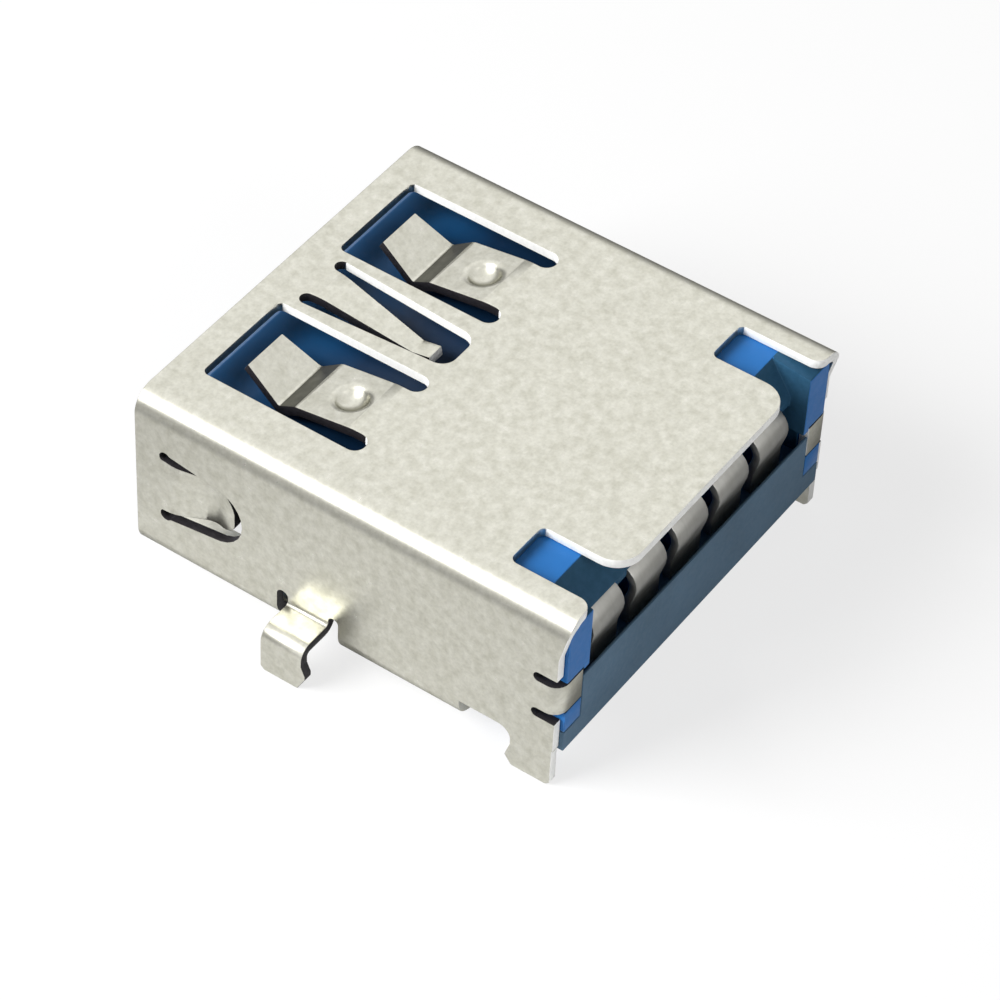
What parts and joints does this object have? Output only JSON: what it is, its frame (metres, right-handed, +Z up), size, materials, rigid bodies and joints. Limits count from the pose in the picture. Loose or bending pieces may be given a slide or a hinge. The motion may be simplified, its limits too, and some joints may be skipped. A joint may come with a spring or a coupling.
{
  "type": "usb socket",
  "caption": "Sunken board-mount USB 3 type A socket: folded steel shell with spring arms and board legs around a blue tongue, with flat and spring contacts and straight tails.",
  "frame": {"origin": "on the board's top face, on the socket's middle plane, midway between its two rows of tails", "axes": "+X across the socket, +Y from the mouth to the rear, +Z up from the board"},
  "size_m": [0.0156, 0.0139, 0.0063],
  "materials": {
    "plated_steel": "satin, plated",
    "blue_plastic": "moulded, satin gloss",
    "slate_plastic": "moulded, matte",
    "contact_metal": "tin plated, satin"
  },
  "bodies": {
    "root": {"shell": "plated_steel", "insulator": "blue_plastic", "tail_cover": "slate_plastic", "rx_minus_contact": "contact_metal", "rx_plus_contact": "contact_metal", "drain_contact": "contact_metal", "tx_minus_contact": "contact_metal", "tx_plus_contact": "contact_metal", "vbus_contact": "contact_metal", "data_minus_contact": "contact_metal", "data_plus_contact": "contact_metal", "ground_contact": "contact_metal"}
  },
  "joints": []
}
